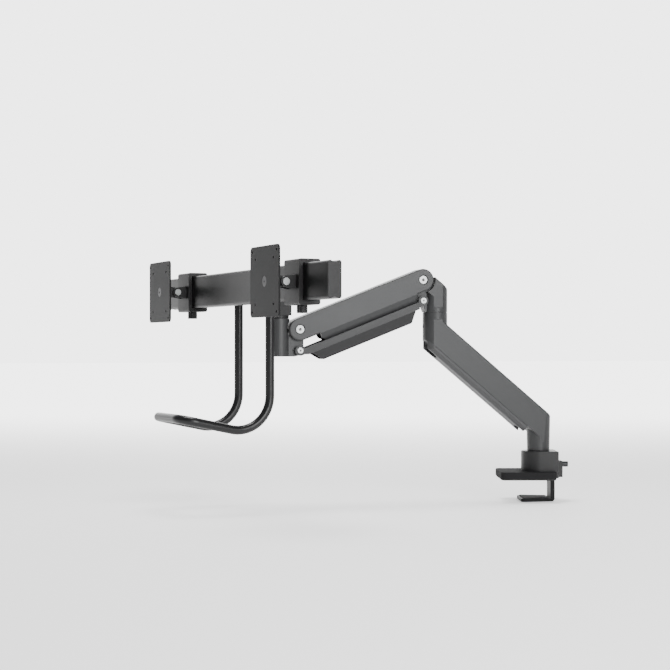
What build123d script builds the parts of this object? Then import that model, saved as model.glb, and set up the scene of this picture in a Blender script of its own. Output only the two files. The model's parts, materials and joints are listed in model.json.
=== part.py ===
from build123d import *
from math import cos, radians, sin, tan
import os

os.makedirs("parts", exist_ok=True)

# Desk-clamped arm that carries two monitors on a crossbar with a handle.
# Millimetres, +Z up. The origin is on the desk top, on the axis of the clamp's post.
# -Y is where the monitor plates face, and +X runs along the crossbar.
# Each group is drawn with "forward" along its own -Y and is then turned by a yaw.

# --- how the arm stands at rest, in degrees
CLAMP_YAW = -26.0
ARM_YAW = -12.0
SPRING_SLOPE = 21.6

# --- fits
RUNNING = 0.05
PRESS = 0.02
GAP = 0.3
SEAT = 0.1

# --- desk clamp
PLATE_FRONT = 76.5
PLATE_REAR = 28.5
PLATE_WIDTH = 115.0
PLATE_CORNER = 9.0
PLATE_TOP = 15.0
PAD_THICK = 2.5
PAD_INSET = 1.5
STEEL_THICK = 6.0
COVER_WALL = 2.0
HOUSING_R = 33.0
HOUSING_REAR = 35.0
HOUSING_TOP = 53.0
HOUSING_CORNER = 3.0
HOUSING_SKIRT = 2.5
POCKET_ROOF = 3.0
POST_R = 12.0
POST_TOP = 116.0
POST_FLANGE_R = 20.0
POST_FLANGE = 4.0
POST_BOLT_R = 5.0
POST_BOLT_HEAD_R = 8.0
POST_BOLT_REACH = 40.0
CLAMP_SCREW_R = 2.5
CLAMP_SCREW_HEAD_R = 4.6
CLAMP_SCREW_REACH = 34.0
CLAMP_SCREW_SPOTS = [(24.0, -12.0), (-24.0, -12.0), (27.0, 10.0), (-27.0, 10.0)]
WASHER = 1.0

# --- clamp jaw
JAW_UP = 14.5
JAW_DOWN = 15.5
LEG_REAR = 28.0
LEG_THICK = 8.0
LEG_WIDTH = 50.0
LEG_TOP = 34.0
JAW_TOP = -36.0
JAW_THICK = 6.0
JAW_TIP = 37.0
JAW_TIP_WIDTH = 80.0
JAW_BEND = 6.0
JAW_TIP_R = 7.0
JAW_PAD = 1.5
BLOCK_WIDTH = 30.0
BLOCK_DEPTH = 9.5
BLOCK_LOW = 3.0
BLOCK_HIGH = 34.0
KEY_WIDTH = 12.0
KEY_HEIGHT = 13.0
LOCK_Z = 27.0
LOCK_R = 4.0
LOCK_HEAD_R = 5.3
LOCK_HEAD = 11.5
LOCK_HEX = 5.0

# --- lower arm
LOWER_REACH = 207.0
SOCKET_R = 23.2
NECK_R = 21.3
ARM_HALF = 21.5
LOWER_SLOPE = 39.6
LOWER_TOP = 135.5
LOWER_DEPTH = 45.8
BEAM_WALL = 3.5
BEAM_ROOF = 5.0
BEAM_EDGE = 2.5
COVER_DEPTH = 11.7
COVER_STRIP = 5.6
COVER_SHELL = 2.6
MOUTH_WIDTH = 26.0
ELBOW_MOUTH = 33.0
BASE_MOUTH = 27.0
BASE_RIM = 7.0
MOUTH_RIM = 11.0
STRIP_END = 11.0
FACET_LOW = 71.0
FACET_HIGH = 302.0
ELBOW_Z = 315.0
BUSH = 12.0
BUSH_WALL = 1.0
UPPER_BUSH_Z = 94.0
LOWER_ELBOW_BUSH_Z = 266.0
SPINDLE_R = 10.0
SPINDLE_LOW = 264.0
SPINDLE_TOP = 342.0
GRUB_R = 2.5
GRUB_PROUD = 0.7
POST_GRUBS_Z = [80.0, 112.0]
ELBOW_GRUB_Z = 289.0

# --- elbow knuckle
PIVOT_OFFSET = 29.0
MAIN_PIVOT_Z = 375.4
LINK_DROP = 38.7
KNUCKLE_COLLAR = 324.3
KNUCKLE_PEAK = (9.1, 383.0)
KNUCKLE_SLOPE = 38.8
SPUR_FOOT = 344.0
TONGUE_HALF = 12.0
TONGUE_SLOT = 6.2
MAIN_EYE_R = 13.0
LINK_EYE_R = 9.0
MAIN_PIN_R = 5.0
MAIN_CAP_R = 7.8
CAP_THICK = 2.0
LINK_PIN_R = 4.0
LINK_CAP_R = 5.6
LINK_CAP = 1.2
TENSION_ARM = 16.0
TENSION_PIN_R = 4.0
TENSION_BLOCK_HALF = 4.0
TENSION_SCREW_R = 2.5

# --- spring arm
SPRING_LENGTH = 252.5
SHELL_R = 20.5
SHELL_WALL = 3.0
SHELL_EDGE = 2.5
END_GAP = 2.8
BEVEL_DEPTH = 15.0
BEVEL_HALF = 15.5
BEVEL_WALL = 2.4
BEVEL_REAR = 20.5
BEVEL_FRONT = 33.0
BEVEL_JOIN = 15.0
CAP_RECESS_R = 9.0
REAR_SLOT_TOP = 11.2
FRONT_SLOT_TOP = 8.8
GAS_LINE = 14.2
GAS_R = 9.0
GAS_REAR = 92.0
GAS_LENGTH = 116.0
GAS_EYE = 12.0
ROD_R = 4.0
ROD_INSIDE = 40.0
ROD_EYE_HOLE = 6.2
ROD_EYE_R = 8.0
ROD_EYE_HALF = 5.9

# --- parallel link and cable cover under the spring arm
LINK_HALF = 22.0
LINK_WALL = 2.0
LINK_ABOVE = 0.5
LINK_BELOW = 12.3
LINK_EAR_R = 9.5
COVER_TALL = 19.3
COVER_TOP_HALF = 21.0
COVER_FOOT_HALF = 17.5
COVER_START = 20.6
COVER_RAKE = 15.0
COVER_SKIN = 2.0

# --- head carrier and head swivel
HEAD_OFFSET = 36.0
CARRIER_R = 20.0
CARRIER_BELOW = 11.0
CARRIER_ABOVE = 20.4
HEAD_SPINDLE_R = 8.0
HEAD_BUSH_WALL = 1.4
HEAD_SPINDLE_DROP = 55.0
RETAINER_HEAD_R = 9.2
RETAINER_HEAD = 2.0
RETAINER_HEX = 10.0
RETAINER_R = 3.0
HEAD_FLANGE_R = 19.0
HEAD_FLANGE = 5.0
POST_HALF = 22.0
TILT_FORWARD = 30.0
TILT_EYE_R = 11.0
TILT_HALF = 13.0
TILT_BOLT_R = 5.0
TILT_BOLT_HEAD_R = 8.0
TILT_BOLT_HEAD = 5.0

# --- crossbar and handle
BAR_Z = 357.0
BAR_BACK = 59.0
BAR_DEPTH = 24.0
BAR_HEIGHT = 61.0
BAR_HALF = 381.0
BAR_CORNER = 4.0
BAR_WALL = 2.6
BAR_DIP = 2.2
BAR_DIP_WIDTH = 14.0
END_CAP = 2.5
END_PLUG = 8.0
PLATE_HALF = 40.0
PLATE_HEIGHT = 50.0
BAR_PLATE = 5.0
BAR_SCREW_R = 3.0
BAR_SCREW_HEAD_R = 5.0
BAR_SCREW_X = 32.0
BAR_SCREW_Z = 17.0
TUBE_R = 8.0
TUBE_WALL = 2.0
LEG_SPREAD = 145.0
HANDLE_LEG = 49.0
HANDLE_TOP = 376.0
HANDLE_FRONT = 214.0
GRIP_Z = 125.0
HANDLE_RISE = 12.0
HANDLE_BEND = 60.0
GRIP_BEND = 28.0
BRACKET_HALF = 15.0
BRACKET_LOW = 340.0
BRACKET_HIGH = 372.0
BRACKET_BACK = 39.5
BRACKET_SCREW_R = 2.2
BRACKET_SCREW_HEAD_R = 3.6

# --- sliders and monitor plates
SLIDER_X = 257.0
SLIDER_HALF = 30.0
SLIDER_WALL = 7.0
SLIDER_HOOK = 13.0
KNOB_R = 9.0
KNOB_HEIGHT = 13.0
KNOB_SCREW_R = 3.0
YOKE_FORWARD = 108.0
YOKE_R = 9.0
YOKE_INNER = 12.0
YOKE_OUTER = 18.0
YOKE_PIN_R = 4.0
PLATE_FACE = 139.5
VESA_THICK = 3.0
VESA_BOSS = 2.5
VESA_BOSS_R = 28.0
VESA_SIZE = 117.0
VESA_CORNER = 8.0
VESA_HOLE_R = 2.3
TURN_FLANGE_R = 25.0
TURN_FLANGE = 7.0
TURN_PIN_R = 7.0
CENTRE_SCREW_R = 3.0
CENTRE_HEAD_R = 9.0
CENTRE_HEAD = 1.5

# --- places worked out from the sizes above
TILT_RAD = radians(SPRING_SLOPE)
HEAD_REACH = PIVOT_OFFSET + SPRING_LENGTH * cos(TILT_RAD) + HEAD_OFFSET
HEAD_DROP = SPRING_LENGTH * sin(TILT_RAD)
LINK_PIVOT_Z = MAIN_PIVOT_Z - LINK_DROP
SLOPE_RISE = tan(radians(LOWER_SLOPE))
SLOPE_COS = cos(radians(LOWER_SLOPE))

CLAMP = Rot(0, 0, CLAMP_YAW)
LOWER = Rot(0, 0, ARM_YAW)
ELBOW = LOWER * Pos(0, -LOWER_REACH, 0)
SPRING = ELBOW * Pos(0, -PIVOT_OFFSET, MAIN_PIVOT_Z) * Rot(SPRING_SLOPE, 0, 0)
LINK = ELBOW * Pos(0, -PIVOT_OFFSET, LINK_PIVOT_Z) * Rot(SPRING_SLOPE, 0, 0)
CARRIER = ELBOW * Pos(0, -HEAD_REACH, 0)
HEAD = Pos(CARRIER.position.X, CARRIER.position.Y, 0)
HEAD_MAIN_Z = MAIN_PIVOT_Z - HEAD_DROP
HEAD_LINK_Z = LINK_PIVOT_Z - HEAD_DROP
HEAD_TOP = HEAD_MAIN_Z + CARRIER_ABOVE
HEAD_LOW = HEAD_LINK_Z - CARRIER_BELOW


def save(name, frame, *pieces):
    """Place the pieces of one node and write them to its file."""
    placed = [frame * piece for piece in pieces]
    shape = placed[0] if len(placed) == 1 else Compound(children=placed)
    export_step(shape, f"parts/{name}.step")


def slab(points, half):
    """A prism across the arm, from a side outline of (forward, up) points."""
    outline = Polyline(*[(-s, z) for s, z in points], close=True)
    return extrude(Plane.YZ * make_face(outline), amount=half, both=True)


def disc(s, z, radius, low, high):
    """A round along X at (forward, up), from x = low to x = high."""
    return extrude(Plane.YZ.offset(low) * Pos(-s, z) * Circle(radius), amount=high - low)


def across(s, z, radius, half):
    """A round along X that is centred on the arm."""
    return disc(s, z, radius, -half, half)


def rod(x, s, radius, low, high):
    """An upright round at (x, forward), from z = low to z = high."""
    return extrude(Plane.XY.offset(low) * Pos(x, -s) * Circle(radius), amount=high - low)


def ring(s, outer, inner, low, high):
    """An upright tube on the arm's centre plane."""
    return rod(0, s, outer, low, high) - rod(0, s, inner, low - 1, high + 1)


def post_along(x, z, radius, near, far):
    """A round along the forward axis, from forward = near to forward = far."""
    return extrude(Plane.XZ.offset(near) * Pos(x, z) * Circle(radius), amount=far - near)


def box(x0, x1, s0, s1, z0, z1):
    """A box between two x, two forward and two z values."""
    centre = Pos((x0 + x1) / 2, -(s0 + s1) / 2, (z0 + z1) / 2)
    return centre * Box(x1 - x0, s1 - s0, z1 - z0)


def both_sides(piece):
    """A piece and its mirror image in the arm's centre plane."""
    return [piece, mirror(piece, about=Plane.YZ)]


# ---------------------------------------------------------------- desk clamp
def plate_outline(inset):
    """The base plate's plan, open at the back for the jaw's leg."""
    length = PLATE_FRONT + PLATE_REAR
    middle = (PLATE_FRONT - PLATE_REAR) / 2
    plan = Pos(0, -middle) * RectangleRounded(
        PLATE_WIDTH - 2 * inset, length - 2 * inset, PLATE_CORNER - inset)
    notch_front = LEG_REAR - LEG_THICK - GAP
    notch = Pos(0, notch_front + LEG_REAR) * Rectangle(LEG_WIDTH + 2 * GAP, 2 * LEG_REAR)
    return plan - notch


def clamp_screw_holes(radius, low, high):
    """Uprights at the clamp's four screw places."""
    return [rod(x, s, radius, low, high) for x, s in CLAMP_SCREW_SPOTS]


def build_clamp_base():
    """Rubber pad, steel plate and the moulded cover over it."""
    pad = extrude(plate_outline(PAD_INSET), amount=PAD_THICK)
    pad -= rod(0, 0, POST_BOLT_HEAD_R + 1, -1, PAD_THICK + 1)
    pad -= clamp_screw_holes(CLAMP_SCREW_HEAD_R + 1, -1, PAD_THICK + 1)

    steel = extrude(Plane.XY.offset(PAD_THICK) * plate_outline(COVER_WALL + SEAT), amount=STEEL_THICK)
    steel -= rod(0, 0, POST_BOLT_R + SEAT, 0, PLATE_TOP)
    steel -= clamp_screw_holes(CLAMP_SCREW_R + SEAT, 0, PLATE_TOP)

    cover = extrude(Plane.XY.offset(PAD_THICK) * plate_outline(0), amount=PLATE_TOP - PAD_THICK)
    top_rim = cover.faces().sort_by(Axis.Z)[-1].outer_wire().edges()
    cover = fillet(top_rim, 1.2)
    cover -= extrude(Plane.XY.offset(PAD_THICK) * plate_outline(COVER_WALL), amount=STEEL_THICK)
    cover -= rod(0, 0, POST_BOLT_R + SEAT, 0, PLATE_TOP + 1)
    cover -= clamp_screw_holes(CLAMP_SCREW_R + SEAT, 0, PLATE_TOP + 1)
    save("base_pad", CLAMP, pad)
    save("base_plate", CLAMP, steel)
    save("base_cover", CLAMP, cover)

    head_low = PAD_THICK - POST_BOLT_HEAD_R / 4
    bolt = rod(0, 0, POST_BOLT_R, PAD_THICK, POST_BOLT_REACH)
    bolt += rod(0, 0, POST_BOLT_HEAD_R, head_low, PAD_THICK)
    save("post_bolt", CLAMP, bolt)
    screws = []
    for x, s in CLAMP_SCREW_SPOTS:
        shank = rod(x, s, CLAMP_SCREW_R, PAD_THICK, CLAMP_SCREW_REACH)
        screws.append(shank + rod(x, s, CLAMP_SCREW_HEAD_R, head_low, PAD_THICK))
    save("housing_screws", CLAMP, *screws)


def build_clamp_housing():
    """The round-fronted housing that holds the post and guides the jaw."""
    plan = Circle(HOUSING_R) + Pos(0, HOUSING_REAR / 2) * Rectangle(2 * HOUSING_R, HOUSING_REAR)
    corners = plan.vertices().filter_by(lambda v: v.Y > HOUSING_REAR - 1)
    plan = fillet(corners, HOUSING_CORNER)
    housing = extrude(Plane.XY.offset(PLATE_TOP) * plan, amount=HOUSING_TOP - PLATE_TOP)
    skirt = extrude(Plane.XY.offset(HOUSING_SKIRT) * plan, amount=PLATE_TOP - HOUSING_SKIRT)
    housing += skirt & box(-HOUSING_R, HOUSING_R, -HOUSING_REAR, -PLATE_REAR - GAP, 0, PLATE_TOP)
    housing = fillet(housing.faces().sort_by(Axis.Z)[-1].edges(), 2.0)

    housing -= rod(0, 0, POST_R + PRESS, 0, HOUSING_TOP + 1)
    housing -= rod(0, 0, POST_FLANGE_R + SEAT, 0, PLATE_TOP + POST_FLANGE + SEAT)
    pocket_front = LEG_REAR - LEG_THICK - GAP
    pocket_rear = LEG_REAR + GAP
    housing -= box(-LEG_WIDTH / 2 - GAP, LEG_WIDTH / 2 + GAP, -pocket_rear, -pocket_front,
                   0, HOUSING_TOP - POCKET_ROOF)
    slot_low = LOCK_Z - KEY_HEIGHT / 2 - JAW_DOWN - GAP
    slot_high = LOCK_Z + KEY_HEIGHT / 2 + JAW_UP + GAP
    slot_half = KEY_WIDTH / 2 + GAP
    housing -= box(-slot_half, slot_half, -HOUSING_REAR - 1, -pocket_rear + 1, slot_low, slot_high)
    housing -= clamp_screw_holes(CLAMP_SCREW_R + PRESS, 0, CLAMP_SCREW_REACH)
    save("clamp_housing", CLAMP, housing)

    post = rod(0, 0, POST_R, PLATE_TOP, POST_TOP)
    post += rod(0, 0, POST_FLANGE_R, PLATE_TOP, PLATE_TOP + POST_FLANGE)
    post -= rod(0, 0, POST_BOLT_R + PRESS, 0, POST_BOLT_REACH + 1)
    post = fillet(post.faces().sort_by(Axis.Z)[-1].edges(), 1.0)
    save("swivel_post", CLAMP, post)
    save("post_washer", CLAMP, ring(0, NECK_R - 0.5, POST_R + GAP, HOUSING_TOP, HOUSING_TOP + WASHER))


def build_jaw():
    """The L-shaped jaw, its pad, and the block that runs up the housing's back."""
    leg_front = LEG_REAR - LEG_THICK
    jaw_low = JAW_TOP - JAW_THICK
    half = LEG_WIDTH / 2
    jaw = box(-half, half, -LEG_REAR, -leg_front, jaw_low, LEG_TOP)
    tip_half = JAW_TIP_WIDTH / 2
    plan = make_face(Polyline((-half, LEG_REAR), (-tip_half, -JAW_TIP), (tip_half, -JAW_TIP),
                              (half, LEG_REAR), close=True))
    plan = fillet(plan.vertices().filter_by(lambda v: v.Y < 0), JAW_TIP_R)
    jaw += extrude(Plane.XY.offset(jaw_low) * plan, amount=JAW_THICK)
    outer = jaw.edges().filter_by(Axis.X).filter_by(
        lambda e: abs(e.center().Y - LEG_REAR) < 0.01 and abs(e.center().Z - jaw_low) < 0.01)
    jaw = fillet(outer, JAW_BEND)
    jaw -= post_along(0, LOCK_Z, LOCK_R, -LEG_REAR - 1, -leg_front + 1)
    save("jaw_bracket", CLAMP, jaw)

    pad_plan = make_face(Polyline((-half, leg_front - 4), (-tip_half + 7, -JAW_TIP + 4),
                                  (tip_half - 7, -JAW_TIP + 4), (half, leg_front - 4), close=True))
    pad_plan = fillet(pad_plan.vertices(), 4)
    save("jaw_pad", CLAMP, extrude(Plane.XY.offset(JAW_TOP) * pad_plan, amount=JAW_PAD))

    inner = HOUSING_REAR + GAP
    outer_face = inner + BLOCK_DEPTH
    block = box(-BLOCK_WIDTH / 2, BLOCK_WIDTH / 2, -outer_face, -inner, BLOCK_LOW, BLOCK_HIGH)
    block = fillet(block.faces().sort_by(Axis.Y)[-1].edges(), 1.5)
    key_low = LOCK_Z - KEY_HEIGHT / 2
    block += box(-KEY_WIDTH / 2, KEY_WIDTH / 2, -inner - 1, -LEG_REAR, key_low, key_low + KEY_HEIGHT)
    block -= post_along(0, LOCK_Z, LOCK_R + SEAT, -outer_face - 1, -LEG_REAR + 1)
    save("jaw_guide_block", CLAMP, block)

    head_start = outer_face + GAP
    screw = post_along(0, LOCK_Z, LOCK_R - RUNNING, -head_start - 1, -leg_front)
    head = post_along(0, LOCK_Z, LOCK_HEAD_R, -head_start - LOCK_HEAD, -head_start)
    head = fillet(head.edges().filter_by(GeomType.CIRCLE), 0.8)
    hexagon = Plane.XZ.offset(-head_start - LOCK_HEAD) * Pos(0, LOCK_Z) * RegularPolygon(LOCK_HEX / 2, 6)
    save("clamp_lock_screw", CLAMP, screw + head - extrude(hexagon, amount=LOCK_HEX))


# ---------------------------------------------------------------- lower arm
def beam_line(s, depth):
    """Height of a line along the lower arm, at a depth square to its top face."""
    return LOWER_TOP + SLOPE_RISE * s - depth / SLOPE_COS


def lower_plan(radius):
    """Both sockets and the flat sides between them, seen from above."""
    flats = Pos(0, -LOWER_REACH / 2) * Rectangle(2 * ARM_HALF, LOWER_REACH)
    ends = Circle(radius) + Pos(0, -LOWER_REACH) * Circle(radius)
    return (ends & Pos(0, -LOWER_REACH / 2) * Rectangle(2 * ARM_HALF, 2 * LOWER_REACH)) + flats


def build_lower_arm():
    """The sloping beam with a socket at each end."""
    front = LOWER_REACH + SOCKET_R
    back_of_top = LOWER_REACH - SOCKET_R
    base = HOUSING_TOP + WASHER
    sloped = slab([(0, beam_line(0, LOWER_DEPTH)), (front + 1, beam_line(front + 1, LOWER_DEPTH)),
                   (front + 1, ELBOW_Z), (LOWER_REACH, ELBOW_Z),
                   (LOWER_REACH, beam_line(LOWER_REACH, 0)), (0, beam_line(0, 0))], 2 * ARM_HALF)
    facets = extrude(Plane.XY.offset(FACET_LOW) * lower_plan(SOCKET_R), amount=FACET_HIGH - FACET_LOW)
    arm = sloped & facets

    low_edge = slab([(-2 * SOCKET_R, base), (2 * SOCKET_R, base),
                     (2 * SOCKET_R, beam_line(SOCKET_R, LOWER_DEPTH)), (0, beam_line(0, 0)),
                     (-2 * SOCKET_R, beam_line(-2 * SOCKET_R, 0))], 2 * ARM_HALF)
    neck_height = LOWER_TOP - base
    neck = Pos(0, 0, base + neck_height / 2) * Cone(NECK_R, SOCKET_R, neck_height)
    flats = box(-ARM_HALF, ARM_HALF, -2 * SOCKET_R, 2 * SOCKET_R, FACET_LOW, LOWER_TOP)
    foot = box(-2 * SOCKET_R, 2 * SOCKET_R, -2 * SOCKET_R, 2 * SOCKET_R, base, FACET_LOW)
    arm += neck & low_edge & (flats + foot)
    ridge = arm.edges().filter_by(lambda e: abs(abs(e.center().X) - ARM_HALF) < 0.01
                                  and abs(e.center().Z - beam_line(-e.center().Y, 0)) < 0.5
                                  and e.length > LOWER_REACH / 2)
    arm = fillet(ridge, BEAM_EDGE)
    socket = rod(0, LOWER_REACH, SOCKET_R, beam_line(front, LOWER_DEPTH) + 1, FACET_HIGH)
    arm += socket & box(-ARM_HALF, ARM_HALF, 0, 2 * LOWER_REACH, base, ELBOW_Z)
    arm += rod(0, LOWER_REACH, SOCKET_R, FACET_HIGH, ELBOW_Z)

    channel_half = ARM_HALF - BEAM_WALL
    start = SOCKET_R + 1
    end = back_of_top - 1
    arm -= slab([(start, beam_line(start, LOWER_DEPTH) - 5), (end, beam_line(end, LOWER_DEPTH) - 5),
                 (end, beam_line(end, BEAM_ROOF)), (start, beam_line(start, BEAM_ROOF))], channel_half)
    bush_r = POST_R + RUNNING + BUSH_WALL
    arm -= rod(0, 0, bush_r, base - 1, POST_TOP + 2)
    elbow_bush_r = SPINDLE_R + RUNNING + BUSH_WALL
    arm -= rod(0, LOWER_REACH, elbow_bush_r, SPINDLE_LOW - 2, ELBOW_Z + 1)

    grubs = []
    for z in POST_GRUBS_Z:
        outside = NECK_R + (SOCKET_R - NECK_R) * (z - base) / neck_height + GRUB_PROUD
        grubs.append(post_along(0, z, GRUB_R, -outside, -POST_R - SEAT))
        arm -= post_along(0, z, GRUB_R + PRESS, -2 * SOCKET_R, -POST_R)
    elbow_grub = post_along(0, ELBOW_GRUB_Z, GRUB_R, LOWER_REACH + SPINDLE_R + SEAT, front + GRUB_PROUD)
    arm -= post_along(0, ELBOW_GRUB_Z, GRUB_R + PRESS, LOWER_REACH, front + 5)
    save("lower_arm_body", LOWER, arm)
    save("arm_set_screws", LOWER, elbow_grub, *grubs)

    low_bush = ring(0, bush_r - PRESS, POST_R + RUNNING, base, base + BUSH)
    high_bush = ring(0, bush_r - PRESS, POST_R + RUNNING, UPPER_BUSH_Z, UPPER_BUSH_Z + BUSH)
    save("post_bushes", LOWER, low_bush, high_bush)
    low_bush = ring(LOWER_REACH, elbow_bush_r - PRESS, SPINDLE_R + RUNNING,
                    LOWER_ELBOW_BUSH_Z, LOWER_ELBOW_BUSH_Z + BUSH)
    high_bush = ring(LOWER_REACH, elbow_bush_r - PRESS, SPINDLE_R + RUNNING, ELBOW_Z - BUSH, ELBOW_Z)
    save("elbow_bushes", LOWER, low_bush, high_bush)


def belly_section(half, top, shoulder, floor, floor_half):
    """Half of the cable cover's section is a straight side that rounds into a flat floor."""
    bulge = (floor_half + (half - floor_half) * 0.72, shoulder - (shoulder - floor) * 0.72)
    side = Line((half, top), (half, shoulder))
    turn = ThreePointArc((half, shoulder), bulge, (floor_half, floor))
    base = Line((floor_half, floor), (0, floor))
    middle = Line((0, floor), (0, top))
    lid = Line((0, top), (half, top))
    right = make_face(side + turn + base + middle + lid)
    return right + mirror(right, about=Plane.YZ)


def build_lower_cover():
    """The clip-on cover under the lower arm, with a cable mouth at each end."""
    along = Pos(0, 0, LOWER_TOP) * Rot(-LOWER_SLOPE, 0, 0)
    strip_low = LOWER_DEPTH + COVER_STRIP
    floor = LOWER_DEPTH + COVER_DEPTH
    groove = 0.9
    outer = belly_section(ARM_HALF - groove, -LOWER_DEPTH, -strip_low - groove, -floor, 12.5)
    band = Pos(0, -(LOWER_DEPTH + groove + strip_low) / 2) * Rectangle(2 * ARM_HALF, COVER_STRIP - groove)
    inner = belly_section(ARM_HALF - groove - COVER_SHELL, -LOWER_DEPTH + 1, -strip_low,
                          -floor + COVER_SHELL, 11.0)
    reach = 1.5 * LOWER_REACH
    skin = extrude(Plane.XZ * (outer + band), amount=reach)
    hollow = extrude(Plane.XZ * inner, amount=reach)

    top_end = (LOWER_REACH + SOCKET_R) / SLOPE_COS - floor * SLOPE_RISE
    neck_end = SOCKET_R / SLOPE_COS - floor * SLOPE_RISE
    hollow &= box(-ARM_HALF, ARM_HALF, neck_end + MOUTH_RIM, top_end - MOUTH_RIM, -2 * floor, 0)
    mouths = []
    base_mouth = (neck_end + BASE_RIM, neck_end + BASE_RIM + BASE_MOUTH)
    for first, last in [(top_end - ELBOW_MOUTH, top_end + 40), base_mouth]:
        middle = (first + last) / 2
        shape = Pos(0, -middle) * SlotOverall(last - first, MOUTH_WIDTH, rotation=90)
        mouths.append(extrude(Plane.XY.offset(-2 * floor) * shape, amount=2 * floor - LOWER_DEPTH - 1.2))
    cover = along * (skin - hollow - mouths)
    rounded = extrude(Plane.XY.offset(0) * lower_plan(SOCKET_R), amount=ELBOW_Z)
    cover = cover & rounded & box(-ARM_HALF, ARM_HALF, STRIP_END, 2 * LOWER_REACH, 0, ELBOW_Z)
    base = HOUSING_TOP + WASHER
    neck_height = LOWER_TOP - base
    clear = NECK_R + SEAT
    cover -= Pos(0, 0, base + neck_height / 2) * Cone(clear, SOCKET_R + SEAT, neck_height)
    pieces = cover.solids().sort_by(SortBy.VOLUME)
    save("lower_arm_cover", LOWER, pieces[-1])


# ---------------------------------------------------------------- elbow knuckle
def tongue(pivot, main_z, link_z, outline):
    """The plate between the shell's walls that carries both pivots of one end."""
    plate = slab(outline, TONGUE_HALF)
    plate += across(pivot, main_z, MAIN_EYE_R, TONGUE_HALF)
    return plate + across(pivot, link_z, LINK_EYE_R, TONGUE_HALF)


def pivot_holes(pivot, main_z, link_z):
    """Bores for the main pin and the link pin."""
    main = across(pivot, main_z, MAIN_PIN_R + PRESS, 2 * ARM_HALF)
    return [main, across(pivot, link_z, LINK_PIN_R + PRESS, 2 * ARM_HALF)]


def main_pin(pivot, z):
    """Pin with a round cap that sits in the shell's recess on each side."""
    seat = ARM_HALF - SHELL_WALL + SEAT
    pin = across(pivot, z, MAIN_PIN_R, seat)
    for cap in both_sides(disc(pivot, z, MAIN_CAP_R, seat, seat + CAP_THICK)):
        pin += cap
    rims = pin.edges().filter_by(lambda e: abs(abs(e.center().X) - seat - CAP_THICK) < 0.01)
    return fillet(rims, 0.6)


def link_pin(pivot, z):
    """Thinner pin with a low cap outside each ear of the parallel link."""
    seat = LINK_HALF + SEAT
    pin = across(pivot, z, LINK_PIN_R, seat)
    for cap in both_sides(disc(pivot, z, LINK_CAP_R, seat, seat + LINK_CAP)):
        pin += cap
    rims = pin.edges().filter_by(lambda e: abs(abs(e.center().X) - seat - LINK_CAP) < 0.01)
    return fillet(rims, 0.5)


def knuckle_top(s):
    """Height of the knuckle's sloping top."""
    peak_s, peak_z = KNUCKLE_PEAK
    return peak_z + (s - peak_s) * tan(radians(KNUCKLE_SLOPE))


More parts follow.
